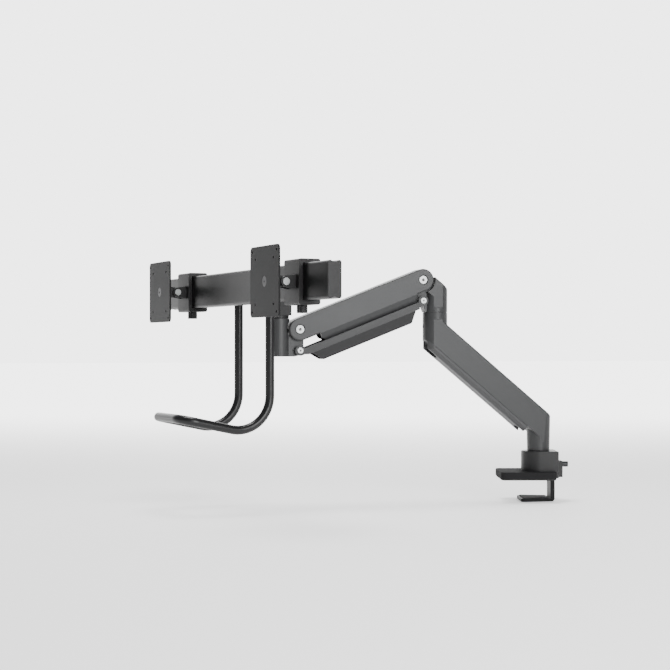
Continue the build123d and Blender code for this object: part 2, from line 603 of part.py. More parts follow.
def build_knuckle():
    """The turning elbow head: socket collar, flat cheeks, sloping top and the pivot tongue."""
    low = ELBOW_Z + WASHER
    high = MAIN_PIVOT_Z + 2 * MAIN_EYE_R
    body = rod(0, 0, SOCKET_R, low, high)
    chord = 24.0
    foot_slope = tan(radians(37.7))
    foot = SPUR_FOOT - 8.7 * foot_slope
    body &= box(-ARM_HALF, ARM_HALF, -SOCKET_R, SOCKET_R, low, high)
    body += slab([(0, foot), (chord, foot + chord * foot_slope), (chord, high), (0, high)], ARM_HALF)
    body += rod(0, 0, SOCKET_R, low, KNUCKLE_COLLAR)
    body -= slab([(-40, knuckle_top(-40)), (40, knuckle_top(40)), (40, 2 * high), (-40, 2 * high)], 30)
    body -= across(PIVOT_OFFSET, MAIN_PIVOT_Z, SHELL_R + END_GAP, 30)

    body += tongue(PIVOT_OFFSET, MAIN_PIVOT_Z, LINK_PIVOT_Z,
                   [(5, low), (22, low), (26, LINK_PIVOT_Z - 9), (PIVOT_OFFSET + 8, LINK_PIVOT_Z - 3),
                    (PIVOT_OFFSET + 8, MAIN_PIVOT_Z), (PIVOT_OFFSET - 5, MAIN_PIVOT_Z + 10.6),
                    (5, MAIN_PIVOT_Z - 11.4)])
    body -= pivot_holes(PIVOT_OFFSET, MAIN_PIVOT_Z, LINK_PIVOT_Z)
    slot_floor = LINK_PIVOT_Z + LINK_EYE_R + GAP
    slot_roof = MAIN_PIVOT_Z - MAIN_PIN_R - 0.9
    slot_back = PIVOT_OFFSET - ROD_EYE_R - 1
    body -= slab([(slot_back, slot_floor), (60, slot_floor), (60, MAIN_PIVOT_Z + 20),
                  (PIVOT_OFFSET + 7, MAIN_PIVOT_Z + 3.6), (PIVOT_OFFSET + 4, slot_roof),
                  (slot_back, slot_roof)], TONGUE_SLOT)
    screw_low = LINK_PIVOT_Z + LINK_PIN_R + 1.5
    body -= rod(0, PIVOT_OFFSET, TENSION_SCREW_R + PRESS, screw_low, slot_floor + 1)
    body -= rod(0, 0, SPINDLE_R + PRESS, low - 1, SPINDLE_TOP + 1)
    save("knuckle_body", ELBOW, body)

    spindle = rod(0, 0, SPINDLE_R, SPINDLE_LOW, SPINDLE_TOP)
    spindle = fillet(spindle.faces().sort_by(Axis.Z)[0].edges(), 1.0)
    save("elbow_spindle", ELBOW, spindle)
    save("elbow_washer", ELBOW, ring(0, SOCKET_R - 1.2, SPINDLE_R + RUNNING, ELBOW_Z, low))
    save("elbow_main_pin", ELBOW, main_pin(PIVOT_OFFSET, MAIN_PIVOT_Z))
    save("elbow_link_pin", ELBOW, link_pin(PIVOT_OFFSET, LINK_PIVOT_Z))

    pin_z = MAIN_PIVOT_Z - TENSION_ARM
    block = box(-TENSION_BLOCK_HALF, TENSION_BLOCK_HALF, PIVOT_OFFSET - 5.5, PIVOT_OFFSET + 5.5,
                pin_z - 5.5, pin_z + 5.5)
    block += across(PIVOT_OFFSET, pin_z, TENSION_PIN_R, ROD_EYE_HALF)
    block -= rod(0, PIVOT_OFFSET, TENSION_SCREW_R + PRESS, 0, 2 * pin_z)
    save("tension_block", ELBOW, block)
    screw = rod(0, PIVOT_OFFSET, TENSION_SCREW_R, screw_low + SEAT, slot_roof - SEAT)
    screw += rod(0, PIVOT_OFFSET, 1.6 * TENSION_SCREW_R, slot_roof - 3, slot_roof - SEAT)
    save("tension_screw", ELBOW, screw)


# ---------------------------------------------------------------- spring arm
def stadium(radius, half):
    """The shell's side outline: two round ends joined by straight edges."""
    bar = slab([(0, -radius), (SPRING_LENGTH, -radius), (SPRING_LENGTH, radius), (0, radius)], half)
    return bar + across(0, 0, radius, half) + across(SPRING_LENGTH, 0, radius, half)


def tapered_section(top, top_half, mid, foot, foot_half):
    """A section with straight sides down to mid, leaning in to the foot."""
    return make_face(Polyline((-top_half, top), (top_half, top), (top_half, mid), (foot_half, foot),
                              (-foot_half, foot), (-top_half, mid), close=True))


def build_spring_arm():
    """The gas spring's housing, open underneath, with bosses for both main pins."""
    shell = stadium(SHELL_R, ARM_HALF)
    rims = shell.edges().filter_by(lambda e: abs(abs(e.center().X) - ARM_HALF) < 0.01)
    shell = fillet(rims, SHELL_EDGE)
    foot = SHELL_R + BEVEL_DEPTH
    front = SPRING_LENGTH - BEVEL_FRONT
    bevel = extrude(Plane.XZ * tapered_section(-BEVEL_JOIN, ARM_HALF, -SHELL_R, -foot, BEVEL_HALF),
                    amount=SPRING_LENGTH)
    start = BEVEL_REAR
    bevel &= slab([(start, -BEVEL_JOIN), (start, -SHELL_R), (start + 2, -SHELL_R - 4.8),
                   (start + 3.7, -SHELL_R - 8.5), (start + 4.1, -foot), (front - 6, -foot),
                   (front, -SHELL_R - 8.5), (front, -BEVEL_JOIN)], 2 * ARM_HALF)
    inner_half = ARM_HALF - SHELL_WALL
    inner_r = SHELL_R - SHELL_WALL
    hollow = stadium(inner_r, inner_half)
    hollow += slab([(-inner_r, -SHELL_R - 0.5), (SPRING_LENGTH + inner_r, -SHELL_R - 0.5),
                    (SPRING_LENGTH + inner_r, 0), (-inner_r, 0)], inner_half)
    hollow += extrude(Plane.XZ * tapered_section(-10, inner_half, -SHELL_R + 0.5, -foot - 0.1,
                                                 BEVEL_HALF - BEVEL_WALL), amount=SPRING_LENGTH)
    shell = shell + bevel - hollow
    for pivot in (0, SPRING_LENGTH):
        for boss in both_sides(disc(pivot, 0, MAIN_EYE_R, TONGUE_HALF + GAP, inner_half + 0.5)):
            shell += boss
        shell -= across(pivot, 0, MAIN_PIN_R + RUNNING, 2 * ARM_HALF)
        for recess in both_sides(disc(pivot, 0, CAP_RECESS_R, inner_half, 2 * ARM_HALF)):
            shell -= recess
    gate = TONGUE_HALF + GAP
    shell -= box(-gate, gate, -2 * SHELL_R, 0, -2 * SHELL_R, REAR_SLOT_TOP)
    shell -= box(-gate, gate, SPRING_LENGTH, SPRING_LENGTH + 2 * SHELL_R, -2 * SHELL_R, FRONT_SLOT_TOP)
    save("spring_arm_shell", SPRING, shell)

    gas_front = GAS_REAR + GAS_LENGTH
    gas = post_along(0, -GAS_LINE, GAS_R, GAS_REAR, gas_front)
    gas = fillet(gas.edges().filter_by(GeomType.CIRCLE), 1.5)
    gas += slab([(gas_front - 1, -GAS_LINE - 5), (gas_front + GAS_EYE, -GAS_LINE - 5),
                 (gas_front + GAS_EYE, -GAS_LINE + 5), (gas_front - 1, -GAS_LINE + 5)], 4)
    gas -= across(gas_front + GAS_EYE / 2, -GAS_LINE, ROD_R + PRESS, 10)
    gas -= post_along(0, -GAS_LINE, ROD_R + RUNNING, GAS_REAR - 1, gas_front - 12)
    save("gas_cylinder", SPRING, gas)
    save("gas_pin", SPRING, across(gas_front + GAS_EYE / 2, -GAS_LINE, ROD_R, inner_half))

    eye = TENSION_ARM * sin(TILT_RAD)
    cheek = slab([(eye, -GAS_LINE - 5), (eye + 20, -GAS_LINE - 5), (eye + 20, -GAS_LINE + 5),
                  (eye, -GAS_LINE + 5)], ROD_EYE_HALF)
    fork = cheek + across(eye, -GAS_LINE, ROD_EYE_R, ROD_EYE_HALF)
    fork -= box(-TENSION_BLOCK_HALF - GAP, TENSION_BLOCK_HALF + GAP, eye - 20, eye + 14,
                -GAS_LINE - 20, -GAS_LINE + 20)
    fork -= across(eye, -GAS_LINE, ROD_EYE_HOLE, 20)
    fork += post_along(0, -GAS_LINE, ROD_R, eye + 18, GAS_REAR + ROD_INSIDE)
    save("gas_rod", SPRING, fork)


def build_tie_link():
    """The parallel link: a shallow channel with an ear at each end, and its cable cover."""
    inner = LINK_HALF - LINK_WALL
    run = 12.0
    end = SPRING_LENGTH - run
    sides = slab([(0, -LINK_EAR_R), (SPRING_LENGTH, -LINK_EAR_R), (SPRING_LENGTH, LINK_ABOVE),
                  (0, LINK_ABOVE)], LINK_HALF)
    sides += slab([(run, -LINK_BELOW), (end, -LINK_BELOW), (end, LINK_ABOVE), (run, LINK_ABOVE)],
                  LINK_HALF)
    for pivot in (0, SPRING_LENGTH):
        sides += across(pivot, 0, LINK_EAR_R, LINK_HALF)
    link = sides - box(-inner, inner, -50, SPRING_LENGTH + 50, -LINK_BELOW + LINK_WALL, 50)
    link -= box(-inner, inner, -50, run, -50, 50)
    link -= box(-inner, inner, end, SPRING_LENGTH + 50, -50, 50)
    for pivot in (0, SPRING_LENGTH):
        link -= across(pivot, 0, LINK_PIN_R + RUNNING, 2 * LINK_HALF)
    save("tie_link", LINK, link)

    foot = LINK_BELOW + COVER_TALL
    front = SPRING_LENGTH - COVER_START
    outline = make_face(Plane.YZ * Polyline(
        (-COVER_START, -LINK_BELOW), (-COVER_START - COVER_RAKE, -foot), (-front + COVER_RAKE, -foot),
        (-front, -LINK_BELOW), close=True))
    side = extrude(outline, amount=2 * LINK_HALF, both=True)
    corners = side.edges().filter_by(Axis.X).filter_by(lambda e: abs(e.center().Z + foot) < 0.01)
    side = fillet(corners, 5)
    section = tapered_section(-LINK_BELOW, COVER_TOP_HALF, -LINK_BELOW - 0.1, -foot, COVER_FOOT_HALF)
    feet = section.vertices().filter_by(lambda v: abs(v.Y + foot) < 0.01)
    skin = extrude(Plane.XZ * fillet(feet, 3.5), amount=SPRING_LENGTH)
    hollow = tapered_section(-LINK_BELOW + 1, COVER_TOP_HALF - COVER_SKIN, -LINK_BELOW - 0.1,
                             -foot + COVER_SKIN, COVER_FOOT_HALF - COVER_SKIN)
    cover = (skin & side) - extrude(Plane.XZ * hollow, amount=SPRING_LENGTH)
    save("arm_cable_cover", LINK, cover)


# ---------------------------------------------------------------- head
def build_head_carrier():
    """The arm's front end: a socket for the head spindle and a tongue for the pivots."""
    pivot = -HEAD_OFFSET
    body = rod(0, 0, CARRIER_R, HEAD_LOW, HEAD_TOP)
    body = fillet(body.edges().filter_by(GeomType.CIRCLE), 1.5)
    body -= across(pivot, HEAD_MAIN_Z, SHELL_R + END_GAP, 30)
    body += tongue(pivot, HEAD_MAIN_Z, HEAD_LINK_Z,
                   [(-8, HEAD_LOW), (pivot + 9, HEAD_LOW), (pivot - 3, HEAD_LINK_Z - 8),
                    (pivot - 8, HEAD_LINK_Z), (pivot - 8, HEAD_MAIN_Z), (pivot + 7, HEAD_MAIN_Z + 9.6),
                    (-8, HEAD_MAIN_Z - 22.4)])
    body -= pivot_holes(pivot, HEAD_MAIN_Z, HEAD_LINK_Z)
    bush_r = HEAD_SPINDLE_R + RUNNING + HEAD_BUSH_WALL
    body -= rod(0, 0, bush_r, HEAD_LOW - 1, HEAD_TOP + 1)
    save("head_carrier_body", CARRIER, body)
    save("head_main_pin", CARRIER, main_pin(pivot, HEAD_MAIN_Z))
    save("head_link_pin", CARRIER, link_pin(pivot, HEAD_LINK_Z))
    spindle_end = HEAD_TOP + WASHER - HEAD_SPINDLE_DROP
    low_bush = ring(0, bush_r - PRESS, HEAD_SPINDLE_R + RUNNING, spindle_end + SEAT, spindle_end + BUSH)
    high_bush = ring(0, bush_r - PRESS, HEAD_SPINDLE_R + RUNNING, HEAD_TOP - BUSH, HEAD_TOP)
    save("head_bushes", CARRIER, low_bush, high_bush)
    save("carrier_cap", CARRIER, rod(0, 0, bush_r - PRESS, HEAD_LOW, HEAD_LOW + 2.5))


def build_head_post():
    """The upright bracket that turns in the carrier and holds the tilt bolt."""
    flange_low = HEAD_TOP + WASHER
    column_low = flange_low + HEAD_FLANGE
    spindle_end = flange_low - HEAD_SPINDLE_DROP
    post = rod(0, 0, HEAD_SPINDLE_R, spindle_end, column_low)
    post += rod(0, 0, HEAD_FLANGE_R, flange_low, column_low)
    column = slab([(-16, column_low - 1), (16, column_low - 1), (19, BAR_Z - 24),
                   (TILT_FORWARD, BAR_Z - 12), (TILT_FORWARD, BAR_Z + 12), (16, BAR_Z + 12),
                   (-8, BAR_Z - 14), (-16, BAR_Z - 30)], POST_HALF)
    column += across(TILT_FORWARD, BAR_Z, 12, POST_HALF)
    upright = column.edges().filter_by(Axis.X)
    column = fillet(upright.filter_by(lambda e: e.center().Y > -18 and e.center().Z > column_low + 5), 4)
    post += column
    post -= box(-TILT_HALF - GAP, TILT_HALF + GAP, TILT_FORWARD - 13, TILT_FORWARD + 20,
                BAR_Z - 22, BAR_Z + 22)
    post -= across(TILT_FORWARD, BAR_Z, TILT_BOLT_R + PRESS, 2 * POST_HALF)
    post -= rod(0, 0, RETAINER_R + PRESS, spindle_end - 1, spindle_end + 14)
    save("head_post", HEAD, post)
    save("head_washer", HEAD, ring(0, HEAD_FLANGE_R - 1, HEAD_SPINDLE_R + RUNNING, HEAD_TOP, flange_low))
    screw = rod(0, 0, RETAINER_R, spindle_end - 1, spindle_end + 13)
    screw += rod(0, 0, RETAINER_HEAD_R, spindle_end - RETAINER_HEAD, spindle_end)
    hexagon = Plane.XY.offset(spindle_end - RETAINER_HEAD - 4) * RegularPolygon(RETAINER_HEX / 2, 6)
    save("head_retaining_screw", HEAD, screw + extrude(hexagon, amount=4.5))

    reach = POST_HALF + SEAT
    bolt = across(TILT_FORWARD, BAR_Z, TILT_BOLT_R, reach)
    for head in both_sides(disc(TILT_FORWARD, BAR_Z, TILT_BOLT_HEAD_R, reach, reach + TILT_BOLT_HEAD)):
        bolt += head
    rims = bolt.edges().filter_by(lambda e: abs(abs(e.center().X) - reach - TILT_BOLT_HEAD) < 0.01)
    save("tilt_bolt", HEAD, fillet(rims, 0.8))


# ---------------------------------------------------------------- crossbar and handle
def bar_outline(grow):
    """The crossbar's section: a tall bar, rounded at its corners and dipped along both edges."""
    middle = -(BAR_BACK + BAR_DEPTH / 2)
    tall = BAR_HEIGHT + 2 * grow
    section = Pos(middle, BAR_Z) * RectangleRounded(BAR_DEPTH + 2 * grow, tall, BAR_CORNER + grow)
    half_dip = BAR_DIP_WIDTH / 2
    dip_r = (half_dip ** 2 + BAR_DIP ** 2) / (2 * BAR_DIP)
    for side in (1, -1):
        lift = tall / 2 + dip_r - BAR_DIP
        section -= Pos(middle, BAR_Z + side * lift) * Circle(dip_r)
    return section


def bar_chambers(clearance):
    """The two hollows inside the crossbar, above and below its middle web."""
    wide = BAR_DEPTH - 2 * BAR_WALL - 2 * clearance
    tall = (BAR_HEIGHT - 3 * BAR_WALL - 2 * BAR_DIP) / 2 - 2 * clearance
    middle = -(BAR_BACK + BAR_DEPTH / 2)
    rise = (tall + BAR_WALL) / 2 + clearance
    upper = Pos(middle, BAR_Z + rise) * RectangleRounded(wide, tall, 2.0)
    lower = Pos(middle, BAR_Z - rise) * RectangleRounded(wide, tall, 2.0)
    return [upper, lower]


def bar_screw_holes(radius, near, far):
    """Four rounds along the forward axis that hold the tilt block's plate to the crossbar."""
    spots = [(x, z) for x in (-BAR_SCREW_X, BAR_SCREW_X) for z in (-BAR_SCREW_Z, BAR_SCREW_Z)]
    return [post_along(x, BAR_Z + z, radius, near, far) for x, z in spots]


def bracket_screw_holes(radius, near, far):
    """Two rounds through each handle bracket, one each side of its leg."""
    middle = (BRACKET_LOW + BRACKET_HIGH) / 2
    beside = (TUBE_R + BRACKET_HALF) / 2 + 0.4
    spots = [side * LEG_SPREAD / 2 + step for side in (-1, 1) for step in (-beside, beside)]
    return [post_along(x, middle, radius, near, far) for x in spots]


def build_crossbar():
    """The extruded bar, its end caps, and the tilt block screwed to its back."""
    length = BAR_HALF - END_CAP
    bar = extrude(Plane.YZ * bar_outline(0), amount=length, both=True)
    for chamber in bar_chambers(0):
        bar -= extrude(Plane.YZ * chamber, amount=length + 1, both=True)
    screw_end = BAR_BACK + BAR_WALL + 3
    bar -= bar_screw_holes(BAR_SCREW_R + PRESS, BAR_BACK - 1, screw_end)
    bar -= bracket_screw_holes(BRACKET_SCREW_R + PRESS, BAR_BACK - 1, screw_end)
    save("crossbar", HEAD, bar)

    cap = extrude(Plane.YZ.offset(length) * bar_outline(0), amount=END_CAP)
    for plug in bar_chambers(SEAT):
        cap += extrude(Plane.YZ.offset(length - END_PLUG) * plug, amount=END_PLUG)
    rim = cap.edges().filter_by(lambda e: abs(e.center().X - BAR_HALF) < 0.01)
    cap = fillet(rim, 0.8)
    save("crossbar_end_caps", HEAD, *both_sides(cap))

    plate_back = BAR_BACK - BAR_PLATE
    plate = box(-PLATE_HALF, PLATE_HALF, plate_back, BAR_BACK, BAR_Z - PLATE_HEIGHT / 2,
                BAR_Z + PLATE_HEIGHT / 2)
    plate = fillet(plate.edges().filter_by(Axis.Y), 6)
    block = slab([(TILT_FORWARD, BAR_Z - TILT_EYE_R), (plate_back + 1, BAR_Z - 18),
                  (plate_back + 1, BAR_Z + 18), (TILT_FORWARD, BAR_Z + TILT_EYE_R)], TILT_HALF)
    block += across(TILT_FORWARD, BAR_Z, TILT_EYE_R, TILT_HALF)
    block += plate
    block -= across(TILT_FORWARD, BAR_Z, TILT_BOLT_R + RUNNING, 2 * POST_HALF)
    block -= bar_screw_holes(BAR_SCREW_R + SEAT, 0, BAR_BACK + 1)
    save("tilt_block", HEAD, block)
    screws = []
    shanks = bar_screw_holes(BAR_SCREW_R, plate_back - 1, screw_end)
    heads = bar_screw_holes(BAR_SCREW_HEAD_R, plate_back - 3, plate_back)
    for shank, head in zip(shanks, heads):
        screws.append(shank + head)
    save("tilt_block_screws", HEAD, *screws)


def handle_path():
    """Up one leg, round the grip and down the other, as straight runs and arcs."""
    half = LEG_SPREAD / 2
    low = GRIP_Z - (HANDLE_FRONT - HANDLE_LEG) * tan(radians(HANDLE_RISE))
    corners = [(-half, -HANDLE_LEG, HANDLE_TOP), (-half, -HANDLE_LEG, low), (-half, -HANDLE_FRONT, GRIP_Z),
               (half, -HANDLE_FRONT, GRIP_Z), (half, -HANDLE_LEG, low), (half, -HANDLE_LEG, HANDLE_TOP)]
    return FilletPolyline(*corners, radius=[HANDLE_BEND, GRIP_BEND, GRIP_BEND, HANDLE_BEND])


def build_handle():
    """The bent tube below the crossbar, with the two brackets that hold its legs."""
    path = handle_path()
    start = Plane(origin=path @ 0, z_dir=path % 0)
    tube = sweep(start * Circle(TUBE_R), path=path)
    tube -= sweep(start * Circle(TUBE_R - TUBE_WALL), path=path)
    save("handle", HEAD, tube)

    half = LEG_SPREAD / 2
    plug = rod(half, HANDLE_LEG, TUBE_R - TUBE_WALL - SEAT, HANDLE_TOP - 8, HANDLE_TOP)
    plug += rod(half, HANDLE_LEG, TUBE_R, HANDLE_TOP, HANDLE_TOP + 2)
    plug = fillet(plug.faces().sort_by(Axis.Z)[-1].edges(), 1.2)
    save("handle_plugs", HEAD, *both_sides(plug))

    bracket = box(half - BRACKET_HALF, half + BRACKET_HALF, BRACKET_BACK, BAR_BACK,
                  BRACKET_LOW, BRACKET_HIGH)
    back_edges = bracket.edges().filter_by(Axis.Z).filter_by(lambda e: e.center().Y > -BRACKET_BACK - 1)
    bracket = fillet(back_edges, 5)
    bracket -= rod(half, HANDLE_LEG, TUBE_R + PRESS, 0, 2 * BAR_Z)
    bracket -= bracket_screw_holes(BRACKET_SCREW_R + SEAT, 0, BAR_BACK + 1)
    save("handle_brackets", HEAD, *both_sides(bracket))
    screws = []
    shanks = bracket_screw_holes(BRACKET_SCREW_R, BRACKET_BACK - 1, BAR_BACK + BAR_WALL + 3)
    heads = bracket_screw_holes(BRACKET_SCREW_HEAD_R, BRACKET_BACK - 2.5, BRACKET_BACK)
    for shank, head in zip(shanks, heads):
        screws.append(shank + head)
    save("handle_screws", HEAD, *screws)


# ---------------------------------------------------------------- monitor carriages
def build_carriage(name, side):
    """One monitor's slider with its knob, tilt head and turning plate."""
    place = HEAD * Pos(side * SLIDER_X, 0, 0)
    front = BAR_BACK + BAR_DEPTH + GAP
    low = BAR_Z - BAR_HEIGHT / 2 - GAP
    high = BAR_Z + BAR_HEIGHT / 2 + GAP
    slider = box(-SLIDER_HALF, SLIDER_HALF, BAR_BACK - GAP - SLIDER_WALL, front + SLIDER_WALL,
                 low - SLIDER_WALL, high + SLIDER_WALL)
    slider = fillet(slider.edges().filter_by(Axis.X), 4)
    slider -= box(-SLIDER_HALF - 1, SLIDER_HALF + 1, BAR_BACK - GAP, front, low, high)
    slider -= box(-SLIDER_HALF - 1, SLIDER_HALF + 1, 0, BAR_BACK, low + SLIDER_HOOK, high - SLIDER_HOOK)
    ear = slab([(front, BAR_Z - YOKE_R - 4), (YOKE_FORWARD, BAR_Z - YOKE_R),
                (YOKE_FORWARD, BAR_Z + YOKE_R), (front, BAR_Z + YOKE_R + 4)], YOKE_OUTER)
    ear += across(YOKE_FORWARD, BAR_Z, YOKE_R, YOKE_OUTER)
    ear -= box(-YOKE_INNER, YOKE_INNER, front + SLIDER_WALL, 2 * YOKE_FORWARD, 0, 2 * BAR_Z)
    slider += ear
    slider -= across(YOKE_FORWARD, BAR_Z, YOKE_PIN_R + PRESS, 2 * YOKE_OUTER)
    knob_s = BAR_BACK + BAR_DEPTH / 2
    slider -= rod(0, knob_s, KNOB_SCREW_R + RUNNING, low - SLIDER_WALL - 1, low + 1)
    save(f"{name}_slider", place, slider)

    pin = across(YOKE_FORWARD, BAR_Z, YOKE_PIN_R, YOKE_OUTER + SEAT)
    for head in both_sides(disc(YOKE_FORWARD, BAR_Z, 1.5 * YOKE_PIN_R, YOKE_OUTER + SEAT,
                                YOKE_OUTER + 2)):
        pin += head
    save(f"{name}_tilt_pin", place, pin)

    knob_top = low - SLIDER_WALL - GAP
    knob = rod(0, knob_s, KNOB_R, knob_top - KNOB_HEIGHT, knob_top)
    knob = fillet(knob.edges().filter_by(GeomType.CIRCLE), 1.2)
    for step in range(8):
        groove = Rot(0, 0, 45 * step) * rod(KNOB_R + 0.9, 0, 2.0, knob_top - KNOB_HEIGHT - 1, knob_top + 1)
        knob -= Pos(0, -knob_s, 0) * groove
    knob += rod(0, knob_s, KNOB_SCREW_R, knob_top - 1, low + SEAT)
    save(f"{name}_lock_knob", place, knob)

    flange_front = PLATE_FACE - VESA_THICK - VESA_BOSS
    flange_back = flange_front - TURN_FLANGE
    half = YOKE_INNER - GAP
    head = across(YOKE_FORWARD, BAR_Z, YOKE_R, half)
    head += slab([(YOKE_FORWARD, BAR_Z - YOKE_R), (flange_back + 1, BAR_Z - half),
                  (flange_back + 1, BAR_Z + half), (YOKE_FORWARD, BAR_Z + YOKE_R)], half)
    disc_body = post_along(0, BAR_Z, TURN_FLANGE_R, flange_back, flange_front)
    head += fillet(disc_body.edges().filter_by(GeomType.CIRCLE), 1.0)
    hub_end = PLATE_FACE - CENTRE_HEAD - SEAT
    head += post_along(0, BAR_Z, TURN_PIN_R, flange_front - 1, hub_end)
    head -= across(YOKE_FORWARD, BAR_Z, YOKE_PIN_R + RUNNING, 2 * YOKE_OUTER)
    head -= post_along(0, BAR_Z, CENTRE_SCREW_R + PRESS, hub_end - 12, hub_end + 1)
    save(f"{name}_tilt_head", place, head)

    screw = post_along(0, BAR_Z, CENTRE_SCREW_R, hub_end - 11, hub_end + SEAT)
    screw += post_along(0, BAR_Z, CENTRE_HEAD_R - GAP, hub_end, hub_end + CENTRE_HEAD)
    hexagon = Plane.XZ.offset(hub_end + CENTRE_HEAD - 1.2) * Pos(0, BAR_Z) * RegularPolygon(2.0, 6)
    save(f"{name}_centre_screw", place, screw - extrude(hexagon, amount=2))

    plan = Pos(0, BAR_Z) * RectangleRounded(VESA_SIZE, VESA_SIZE, VESA_CORNER)
    plate = extrude(Plane.XZ.offset(PLATE_FACE - VESA_THICK) * plan, amount=VESA_THICK)
    plate += post_along(0, BAR_Z, VESA_BOSS_R, flange_front + SEAT, PLATE_FACE - VESA_THICK + 0.5)
    plate -= post_along(0, BAR_Z, TURN_PIN_R + RUNNING, flange_front - 1, PLATE_FACE + 1)
    plate -= post_along(0, BAR_Z, CENTRE_HEAD_R, hub_end - SEAT, PLATE_FACE + 1)
    for pitch in (75.0, 100.0):
        for x in (-pitch / 2, pitch / 2):
            for z in (-pitch / 2, pitch / 2):
                plate -= post_along(x, BAR_Z + z, VESA_HOLE_R, flange_front, PLATE_FACE + 1)
    save(f"{name}_vesa_plate", place, plate)


build_clamp_base()
build_clamp_housing()
build_jaw()
build_lower_arm()
build_lower_cover()
build_knuckle()
build_spring_arm()
build_tie_link()
build_head_carrier()
build_head_post()
build_crossbar()
build_handle()
build_carriage("left", -1)
build_carriage("right", 1)
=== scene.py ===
# %% [markdown]
# # Dressing a monitor arm for two screens
# The frame gives every mechanical piece in its place, in metres. This lesson gives each of them a
# finish, adds the small fittings that are too fine for the mechanical model, and lights the result
# like a product picture. Joints and boxes come from the frame; yaws, slope, cap faces, insets and
# the camera are named values or literals here, and do not follow a change of size there.

import json
from math import cos, pi, radians, sin

import bpy
from mathutils import Matrix, Vector


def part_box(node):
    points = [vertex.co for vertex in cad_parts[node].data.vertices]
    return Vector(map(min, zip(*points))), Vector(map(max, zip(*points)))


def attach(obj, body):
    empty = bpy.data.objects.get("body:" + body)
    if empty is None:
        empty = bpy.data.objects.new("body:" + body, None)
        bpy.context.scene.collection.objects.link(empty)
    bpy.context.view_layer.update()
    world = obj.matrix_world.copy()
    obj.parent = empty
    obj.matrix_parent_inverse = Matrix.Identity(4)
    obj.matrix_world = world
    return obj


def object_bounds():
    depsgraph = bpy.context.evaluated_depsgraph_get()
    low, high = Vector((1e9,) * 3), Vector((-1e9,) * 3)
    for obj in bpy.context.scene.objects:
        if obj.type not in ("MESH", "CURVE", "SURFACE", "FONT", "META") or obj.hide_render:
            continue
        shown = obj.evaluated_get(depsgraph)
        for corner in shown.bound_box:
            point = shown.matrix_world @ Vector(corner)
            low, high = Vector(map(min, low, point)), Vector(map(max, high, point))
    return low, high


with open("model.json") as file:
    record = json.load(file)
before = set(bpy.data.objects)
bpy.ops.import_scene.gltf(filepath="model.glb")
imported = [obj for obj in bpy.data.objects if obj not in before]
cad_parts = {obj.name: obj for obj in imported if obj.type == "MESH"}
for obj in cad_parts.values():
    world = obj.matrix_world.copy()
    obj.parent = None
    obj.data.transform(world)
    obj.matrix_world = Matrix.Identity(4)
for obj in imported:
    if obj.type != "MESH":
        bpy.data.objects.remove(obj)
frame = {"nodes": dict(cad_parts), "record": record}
cad_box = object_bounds()
nodes = frame["nodes"]

# %% [markdown]
# ## Directions
# The clamp, the two arms and the crossbar each face their own way. Each joint of the frame says
# where it turns, so the small pieces made later start from those joints.

# %%
joints = {joint["name"]: joint for joint in frame["record"]["behaviour"]["joints"]}
ARM_YAW = radians(-12.0)
ARM_SLOPE = radians(21.6)
VIEW_YAW = radians(64.0)
behind = Vector((-sin(VIEW_YAW), cos(VIEW_YAW), 0.0))


def place_at(joint_name, yaw):
    """A frame whose -Y runs forward along a group, centred where the joint turns."""
    return Matrix.Translation(Vector(joints[joint_name]["pos_m"])) @ Matrix.Rotation(yaw, 4, "Z")


arm_side = place_at("lift", ARM_YAW) @ Matrix.Rotation(ARM_SLOPE, 4, "X")
head_side = place_at("head_level", ARM_YAW)
bar_side = place_at("crossbar_tilt", 0.0)
link_side = place_at("link_swing", ARM_YAW)

# %% [markdown]
# ## Shared node groups
# Four effects return in almost every finish, so each is one node group: soft edges with a fine
# relief, a mask of the outer edges where the colour is lightened, partly as rubbed wear and partly as
# a painted highlight, the faint blotches that hands and dust leave, and a fleck in the colour. One
# helper makes an empty group, one adds a node, and one places a group.


# %%
def start_group(name, inputs, outputs):
    """An empty node group with the given sockets, and its two end nodes."""
    group = bpy.data.node_groups.new(name, "ShaderNodeTree")
    for label, kind, value in inputs:
        socket = group.interface.new_socket(label, in_out="INPUT", socket_type=kind)
        if value is not None:
            socket.default_value = value
    for label, kind in outputs:
        group.interface.new_socket(label, in_out="OUTPUT", socket_type=kind)
    return group, group.nodes.new("NodeGroupInput"), group.nodes.new("NodeGroupOutput")


def add_node(tree, kind, **settings):
    """A node of one kind: attributes by name, and input values by their label."""
    node = tree.nodes.new(kind)
    for key, value in settings.items():
        if hasattr(node, key):
            setattr(node, key, value)
        else:
            node.inputs[key.replace("_", " ")].default_value = value
    return node


def use_group(tree, group):
    """An instance of a shared group in a material."""
    node = tree.nodes.new("ShaderNodeGroup")
    node.node_tree = group
    return node


# %% [markdown]
# ### Soft edges with a fine relief
# No real casting or sheet has a perfectly sharp edge. The Bevel node rounds the shading by half a
# millimetre, and a noise at the scale of powder coat or moulded texture bumps the result.

# %%
relief, g_in, g_out = start_group(
    "Soft edges and relief",
    [("Vector", "NodeSocketVector", None), ("Radius", "NodeSocketFloat", 0.0006),
     ("Scale", "NodeSocketFloat", 900.0), ("Depth", "NodeSocketFloat", 0.00003)],
    [("Normal", "NodeSocketVector")])
soft = add_node(relief, "ShaderNodeBevel", samples=4)
grain = add_node(relief, "ShaderNodeTexNoise", Detail=3.0, Roughness=0.55)
bump = add_node(relief, "ShaderNodeBump", Strength=1.0)
relief.links.new(g_in.outputs["Radius"], soft.inputs["Radius"])
relief.links.new(g_in.outputs["Vector"], grain.inputs["Vector"])
relief.links.new(g_in.outputs["Scale"], grain.inputs["Scale"])
relief.links.new(grain.outputs["Fac"], bump.inputs["Height"])
relief.links.new(g_in.outputs["Depth"], bump.inputs["Distance"])
relief.links.new(soft.outputs["Normal"], bump.inputs["Normal"])
relief.links.new(bump.outputs["Normal"], g_out.inputs["Normal"])
